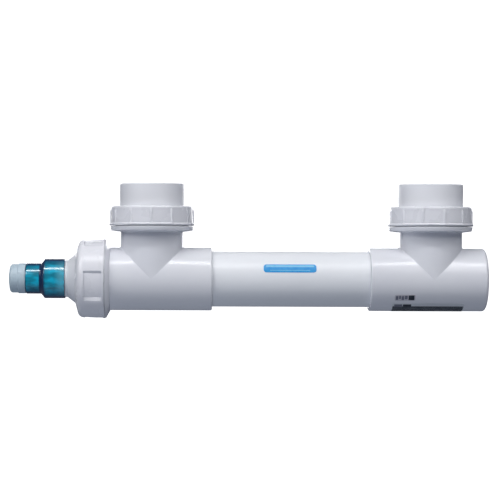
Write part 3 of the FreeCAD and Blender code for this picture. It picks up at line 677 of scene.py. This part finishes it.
def port_nut(node, body, first):
    """A union nut: a lip at its mouth, narrow ribs, and the thread inside."""
    foot, top, lip, x = upright(node)
    wall = lip - 1.5
    crown = wall - 0.7
    crest = lip - 0.8
    lip_top = foot + 3.1
    rib_top = top - 5.0
    mouth = 35.8
    bore = PORT_THREAD + THREAD_GAP
    ceiling = top - 3.8
    thread_top = foot + 10.5
    offsets = (-15, -11, -7, -4, -2.4, -1.9, -1.5, -1.1, -0.6, 0, 0.6, 1.1, 1.5, 1.9, 2.4, 4, 7, 11)

    def ribbed(radius, height, angle):
        if radius < mouth + 6.0 or radius > crest:
            return 0.0
        across = window(from_centre(angle, first, PORT_RIBS), -1.1, 1.1, 0.9)
        return (crest - radius) * across * window(height, lip_top - 0.3, rib_top, 2.6)

    skin = Skin(f"{node}_look", standing_at(x), grouped_angles(PORT_RIBS, first, offsets))
    levels = []
    wall_foot = lip_top + 0.8
    for step in range(7):
        share = step / 6
        levels.append((wall - (wall - crown) * share, wall_foot + share * (rib_top - wall_foot)))
    skin.turn([
        (bore, foot + 1.2), (bore + 0.9, foot, 0.3), (lip - 1.2, foot, 0.3),
        (lip, foot + 1.6, 0.25), (wall, lip_top, 0.5), *levels, (crown, top - 2.6),
        (crown, top, 2.0), (mouth + 0.3, top, 0.4), (mouth, ceiling), (bore, ceiling),
        (bore, thread_top),
    ], ribbed, closed=False)
    skin.thread(bore, -THREAD_DEPTH, foot + 1.2, thread_top, PORT_PITCH, 0.5)
    skin.finish([NUT_WHITE], body, [node])


# ---- lamp head -----------------------------------------------------------------------------

def sleeve_adapter():
    back, end, flange = along_lamp("sleeve_adapter")
    flange_front = back + 5.5
    hub_end = flange_front + 7.2
    cone_end = hub_end + 9.0
    collar_end = cone_end + 2.4
    hub, collar, root = 27.2, 20.2, NOSE_THREAD - NOSE_DEPTH
    hollow = hub - 3.8
    pocket_floor = end - 5.8
    skin = Skin("sleeve_adapter_look", TOWARDS_LAMP)
    skin.turn([
        (root, end - 0.7), (root - 0.6, end), (SEAL_POCKET, end, 0.3), (SEAL_POCKET, pocket_floor),
        (SLEEVE_PASS, pocket_floor), (SLEEVE_PASS, cone_end + 1.5), (collar - 4.0, cone_end),
        (hollow, hub_end - 1.0), (hollow, back), (flange, back, 0.4), (flange, flange_front, 0.5),
        (hub, flange_front, 0.5), (hub, hub_end, 0.8), (collar, cone_end, 0.6),
        (collar, collar_end, 0.5), (root, collar_end), (root, collar_end + 0.6),
    ], closed=False)
    skin.thread(root, NOSE_DEPTH, collar_end + 0.6, end - 0.7, NOSE_PITCH)
    skin.finish([ADAPTER_WHITE], "lamp_head", ["sleeve_adapter"])


def lamp_union_nut():
    """The large nut: four wide lugs with sloped sides, a narrow rim and a low crown in front."""
    back, front, lug = along_lamp("lamp_union_nut")
    mouth = 27.7
    bore = LAMP_THREAD + THREAD_GAP
    shoulder = front - 3.7
    ceiling = front - 6.9
    thread_top = back + 17.5
    turned = 9.5
    first = -90.0 - turned
    floor_half, slope, steep = 18.7, 4.8, 3.0
    floor = lug - 2.4
    recess_back, recess_front = back + 2.5, back + 22.3
    offsets = [0, 6, 12, 17, 18.2, 18.7, 19.2, 20.5, 21.8, 22.3, 22.8, 24, 30, 37, 45]
    offsets += [-offset for offset in offsets[1:-1]]

    def lugged(radius, height, angle):
        if radius <= floor or radius < bore + 1.0:
            return 0.0
        aside = from_centre(angle, first, LAMP_LUGS)
        ramp = steep if aside > 0 else slope
        across = min(1.0, max(0.0, (floor_half + ramp - abs(aside)) / ramp))
        inside = recess_back < height < recess_front
        return (floor - radius) * across if inside else 0.0

    skin = Skin("lamp_union_nut_look", TOWARDS_LAMP, grouped_angles(LAMP_LUGS, first, offsets))
    edge = 0.25
    levels = [(lug, recess_back), (lug, recess_back + edge), (lug, back + 9.0),
              (lug - 0.2, back + 15.0), (lug - 0.7, recess_front - edge), (lug - 0.7, recess_front)]
    skin.turn([
        (bore, back + 1.0), (bore + 0.8, back, 0.3), (lug, back, 0.5), *levels,
        (lug - 1.4, shoulder, 6.0), (mouth + 0.6, front, 0.5),
        (mouth, front - 0.8), (mouth, ceiling), (bore, ceiling), (bore, thread_top),
    ], lugged, closed=False)
    skin.thread(bore, -THREAD_DEPTH, back + 1.0, thread_top, PORT_PITCH, 0.5)
    skin.finish([NUT_WHITE], "lamp_nut", ["lamp_union_nut"])


def gland_follower():
    back, end, radius = along_lamp("gland_follower")
    stem = SEAL_POCKET - 0.3
    step = back + 2.4
    skin = Skin("gland_follower_look", TOWARDS_LAMP)
    skin.turn([
        (SLEEVE_PASS, back, 0.2), (stem, back, 0.2), (stem, step), (radius, step, 0.3),
        (radius, end, 0.5), (SLEEVE_PASS, end, 0.4),
    ])
    skin.finish([GLAND], "gland", ["gland_follower"])


def quartz_cap():
    """The stepped cap in clear teal plastic, threaded inside."""
    back, end, wide = along_lamp("quartz_cap")
    wide_end = back + 22.3
    shoulder = wide_end + 4.0
    narrow, socket = 16.7, 14.0
    throat = SLEEVE_PASS + 0.4
    bore = NOSE_THREAD + THREAD_GAP
    ceiling = wide_end - 0.1
    thread_top = back + 12.0
    skin = Skin("quartz_cap_look", TOWARDS_LAMP)
    skin.turn([
        (bore, back + 0.6), (bore + 0.5, back, 0.2), (wide, back, 0.6), (wide, wide_end, 0.8),
        (narrow, shoulder, 0.6), (narrow, end, 1.2), (socket + 0.4, end, 0.3),
        (socket, end - 1.0), (socket, shoulder + 1.8, 0.4), (throat, shoulder + 1.8, 0.3),
        (throat, ceiling, 0.3), (bore, ceiling, 0.6), (bore, thread_top),
    ], closed=False)
    skin.thread(bore, -NOSE_DEPTH, back + 0.6, thread_top, NOSE_PITCH, 0.5)
    skin.finish([TEAL], "quartz_cap", ["quartz_cap"])


# ---- lamp cap ------------------------------------------------------------------------------

def lamp_cap():
    front, end, radius = along_lamp("lamp_cap")
    plug, cavity = 13.5, 10.6
    face = front + 13.0
    hole = 5.2
    cavity_end = end - 4.8
    middle = front + 4.5
    groove = plug - 1.6
    slim = radius - 0.8
    skin = Skin("lamp_cap_look", TOWARDS_LAMP)
    skin.turn([
        (cavity, front, 0.3), (plug, front, 0.6), (plug, middle - 1.1), (groove, middle - 1.1),
        (groove, middle + 1.1), (plug, middle + 1.1), (plug, face, 0.2), (radius, face, 0.5),
        (radius, face + 7.6, 0.3), (slim, face + 8.4, 0.3), (slim, end - 1.4, 3.4),
        (hole + 2.0, end, 0.5), (hole, end - 0.2), (hole, cavity_end), (cavity, cavity_end, 0.8),
    ])
    skin.finish([CAP_WHITE], "lamp_cap", ["lamp_cap"])


def cable_grommet():
    back, end, flange = along_lamp("cable_grommet")
    bore = 3.2
    step = end - 4.8
    skin = Skin("cable_grommet_look", TOWARDS_LAMP)
    skin.turn([
        (bore, back, 0.3), (flange, back, 0.4), (flange, step, 0.2), (flange - 1.6, step),
        (flange - 1.6, end - 0.2), (flange - 2.1, end, 0.3), (bore + 0.3, end, 0.2),
        (bore, end - 0.6), (bore + 0.25, end - 2.0, 0.4), (bore, end - 3.2),
    ])
    skin.finish([BLACK_RUBBER], "lamp_cap", ["cable_grommet"])


# ---- lamp ----------------------------------------------------------------------------------

def pin_places(offset, count=4):
    for index in range(count):
        angle = FULL_TURN * (index + 0.5) / count
        yield offset * math.cos(angle), offset * math.sin(angle)


def lamp_base():
    front, foot, radius = along_lamp("lamp_base")
    skin = Skin("lamp_base_look", TOWARDS_LAMP)
    rings = []
    for step in range(3):
        start = foot - 9.0 + 2.4 * step
        rings += [(radius, start), (radius - 0.3, start + 0.4), (radius - 0.3, start + 1.0),
                  (radius, start + 1.4)]
    skin.turn([
        (0, front + 8.1), (7.85, front + 8.1), (7.85, front, 0.2), (radius, front, 0.7), *rings,
        (radius, foot, 0.8), (0, foot),
    ])
    skin.finish([CERAMIC], "lamp", ["lamp_base"])


def lamp_pins():
    foot, tip, _ = along_lamp("lamp_pins")
    pin = 1.15
    skin = Skin("lamp_pins_look", TOWARDS_LAMP, even_angles(24))
    for x, y in pin_places(3.4):
        skin.axis = TOWARDS_LAMP @ Matrix.Translation((x * MM, y * MM, 0))
        skin.turn([(0, foot), (pin, foot), (pin, tip - 2.0), (pin - 0.12, tip - 1.7),
                   (pin - 0.12, tip, 0.7), (0, tip)])
    skin.finish([BRASS], "lamp", ["lamp_pins"])


def lamp_electrodes():
    """At each end two posts hold a coiled filament across the axis."""
    low, high = in_mm("lamp_electrodes")
    skin = Skin("lamp_electrodes_look", Matrix.Identity(4))
    for end, inward in ((low.x, 1), (high.x, -1)):
        bridge = end + inward * 10.8
        for side in (-3.0, 3.0):
            skin.sweep([(end + inward * reach, side, 0) for reach in (0, 6, 11.6)], 0.4)
        coil_radius, coil_half, steps = 0.62, 3.8, 12
        total = 9 * steps
        coil = []
        for step in range(total + 1):
            angle = FULL_TURN * step / steps
            coil.append((bridge + coil_radius * math.cos(angle),
                         -coil_half + 2 * coil_half * step / total, coil_radius * math.sin(angle)))
        skin.sweep(coil, 0.14, 6)
    skin.finish([NICKEL], "lamp", ["lamp_electrodes"])


def lamp_return_leads():
    """Two sheathed wires beside the tube, not quite straight."""
    low, high = in_mm("lamp_return_leads")
    skin = Skin("lamp_return_leads_look", Matrix.Identity(4))
    radius = (high.z - low.z) / 2
    offset = high.y - radius
    for side in (-1, 1):
        points = []
        for step in range(49):
            share = step / 48
            sway = 0.1 * math.sin(share * 23.0 + side) * math.sin(share * math.pi)
            points.append((low.x + (high.x - low.x) * share, side * offset, sway))
        skin.sweep(points, radius)
    skin.finish([SHEATH], "lamp", ["lamp_return_leads"])


# ---- carried over --------------------------------------------------------------------------

def dress(node, material):
    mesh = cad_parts[node].data
    mesh.materials.clear()
    mesh.materials.append(material)


for node, nut, left_round, right_round in (("inlet_tee", "inlet_union_nut", 0.3, 1.5),
                                           ("outlet_tee", "outlet_union_nut", 1.5, 3.5)):
    low, high = in_mm(node)
    x = upright(nut)[3]
    tee(node, x, (x - low.x, left_round), (high.x - x, right_round))
port_thread_end("inlet_thread_end")
port_thread_end("outlet_thread_end")
lamp_thread_end()
end_plug()
for node in ("inlet_port_seal", "outlet_port_seal"):
    foot, top, radius, x = upright(node)
    seal_ring(node, PORT_RING_RADIUS, RING_SECTION, (foot + top) / 2, standing_at(x), "housing")
for node, radius, section, body in (("lamp_end_seal", LAMP_RING_RADIUS, RING_SECTION, "housing"),
                                    ("sleeve_seal", 13.55, RING_SECTION, "lamp_head"),
                                    ("cap_seal", 12.8, 0.9, "lamp_cap")):
    back, front, reach = along_lamp(node)
    seal_ring(node, radius, section, (back + front) / 2, TOWARDS_LAMP, body)
tailpiece("inlet_tailpiece", "inlet_tail")
tailpiece("outlet_tailpiece", "outlet_tail")
port_nut("inlet_union_nut", "inlet_nut", -90.0)
port_nut("outlet_union_nut", "outlet_nut", -108.0)
sleeve_adapter()
lamp_union_nut()
gland_follower()
quartz_cap()
lamp_cap()
cable_grommet()
lamp_base()
lamp_pins()
lamp_electrodes()
lamp_return_leads()
label("rating_label", [FILM, INK, GREY_INK], 3.0,
      [(0.01, 0.99, 0.02, 0.90, 1), (0.03, 0.14, 0.87, 0.97, 2), (0.15, 0.265, 0.87, 0.97, 1)])
label("spec_sticker", [STICKER, INK, GREY_INK], 0.8,
      [(0.05, 0.17, 0.15, 0.8, 2), (0.2, 0.3, 0.3, 0.85, 2), (0.33, 0.45, 0.12, 0.8, 2),
       (0.48, 0.62, 0.25, 0.85, 2), (0.67, 0.95, 0.1, 0.9, 1)])
label("tube_decal", [DEEP_BLUE, LIGHT_BLUE], 3.0,
      [(0.05, 0.95, 0.66, 0.88, 1), (0.12, 0.88, 0.2, 0.3, 1)])

dress("flow_tube", PIPE)
dress("sleeve_cushion", BLACK_RUBBER)
dress("quartz_sleeve", QUARTZ)
dress("lamp_tube", LAMP_GLASS)
dress("lamp_end_cap", CERAMIC)
dress("lamp_socket", SOCKET)
dress("socket_contacts", BRASS)


# ---- stage, lights and camera --------------------------------------------------------------

VIEW_CENTRE = Vector((-0.045, 0.0, 0.0317))
VIEW_WIDTH = 0.5473
CAMERA_ASIDE = -0.062
CAMERA_AWAY = 1.85
ROLL = math.radians(0.2)

# Each light's name, place, size, power and colour.
WHITE = (1.0, 1.0, 1.0)
LIGHTS = (
    ("left_softbox", (-1.05, -0.75, 0.84), (0.8, 0.6), 7.8, WHITE),
    ("right_softbox", (0.70, -0.95, 0.92), (0.8, 0.6), 5.6, WHITE),
    ("strip_light", (-0.1, -0.75, 1.3), (1.7, 0.12), 11.6, WHITE),
    ("floor_bounce", (-0.4, -0.6, -1.05), (1.4, 0.6), 4.5, (0.84, 0.9, 1.0)),
    ("back_fill", (0.0, 1.5, 0.2), (1.6, 0.5), 8.0, WHITE),
)
NO_REFLECTION = ("floor_bounce",)


def glow(name, edge, middle):
    """A plain pale surface that is white far away and takes soft shade near the middle."""
    look = Finish(name)
    length = look.add("ShaderNodeVectorMath", {0: look.place}, operation="LENGTH")
    share = look.spread(length.outputs["Value"], middle, edge, 0.5, 1.6)
    colour = (0.85, 0.85, 0.86, 1.0)
    shader = look.add("ShaderNodeBsdfPrincipled", {"Base Color": colour, "Roughness": 0.9,
                                                   "Emission Color": (1.0, 1.0, 1.0, 1.0),
                                                   "Emission Strength": share})
    output = look.add("ShaderNodeOutputMaterial")
    look.tree.links.new(shader.outputs[0], output.inputs[0])
    return look.material


def stage():
    floor_level = -0.30
    bpy.ops.mesh.primitive_circle_add(vertices=96, radius=5.5, fill_type="NGON",
                                      location=(0, 0, floor_level))
    floor = bpy.context.object
    floor.name = "floor"
    floor.data.materials.append(glow("floor_pale", 1.15, 0.7))
    bpy.ops.mesh.primitive_uv_sphere_add(segments=64, ring_count=32, radius=6.0)
    surround = bpy.context.object
    surround.name = "surround"
    surround.data.materials.append(glow("surround_white", 1.15, 1.15))
    for item in (floor, surround):
        item.visible_diffuse = False
        item.visible_transmission = False
        item.visible_glossy = False
        item.visible_shadow = False
        item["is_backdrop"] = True


def area_light(name, place, size, power, colour):
    """A soft light that points at the origin."""
    light = bpy.data.lights.new(name, "AREA")
    light.shape = "RECTANGLE"
    light.size, light.size_y = size
    light.energy = power
    light.color = colour
    lamp = bpy.data.objects.new(name, light)
    bpy.context.scene.collection.objects.link(lamp)
    lamp.location = place
    lamp.rotation_euler = (-Vector(place)).to_track_quat("-Z", "Y").to_euler()
    lamp.visible_camera = False
    lamp.visible_glossy = name not in NO_REFLECTION


def light_scene():
    world = bpy.data.worlds.new("studio")
    bpy.context.scene.world = world
    world.use_nodes = True
    background = world.node_tree.nodes["Background"]
    background.inputs["Color"].default_value = (0.70, 0.78, 1.0, 1.0)
    background.inputs["Strength"].default_value = 0.12
    for name, place, size, power, colour in LIGHTS:
        area_light(name, place, size, power, colour)
    bpy.context.scene.view_settings.view_transform = "Standard"


def make_camera():
    """The camera stands a little towards the lamp end, and its shift keeps the view centred."""
    data = bpy.data.cameras.new("camera")
    data.sensor_width = 36.0
    data.lens = data.sensor_width * CAMERA_AWAY / VIEW_WIDTH
    data.shift_x = -CAMERA_ASIDE / VIEW_WIDTH
    data.clip_end = 30.0
    camera = bpy.data.objects.new("camera", data)
    bpy.context.scene.collection.objects.link(camera)
    camera.location = VIEW_CENTRE + Vector((CAMERA_ASIDE, -CAMERA_AWAY, 0.0))
    ahead = Vector((0.0, 1.0, 0.0)).to_track_quat("-Z", "Y")
    camera.rotation_euler = (ahead.to_matrix() @ Matrix.Rotation(ROLL, 3, "Z")).to_euler()
    bpy.context.scene.camera = camera


stage()
light_scene()
make_camera()

boxes = {"cad": CAD_BOX, "visual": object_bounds()}
{name: [list(low), list(high)] for name, (low, high) in boxes.items()}
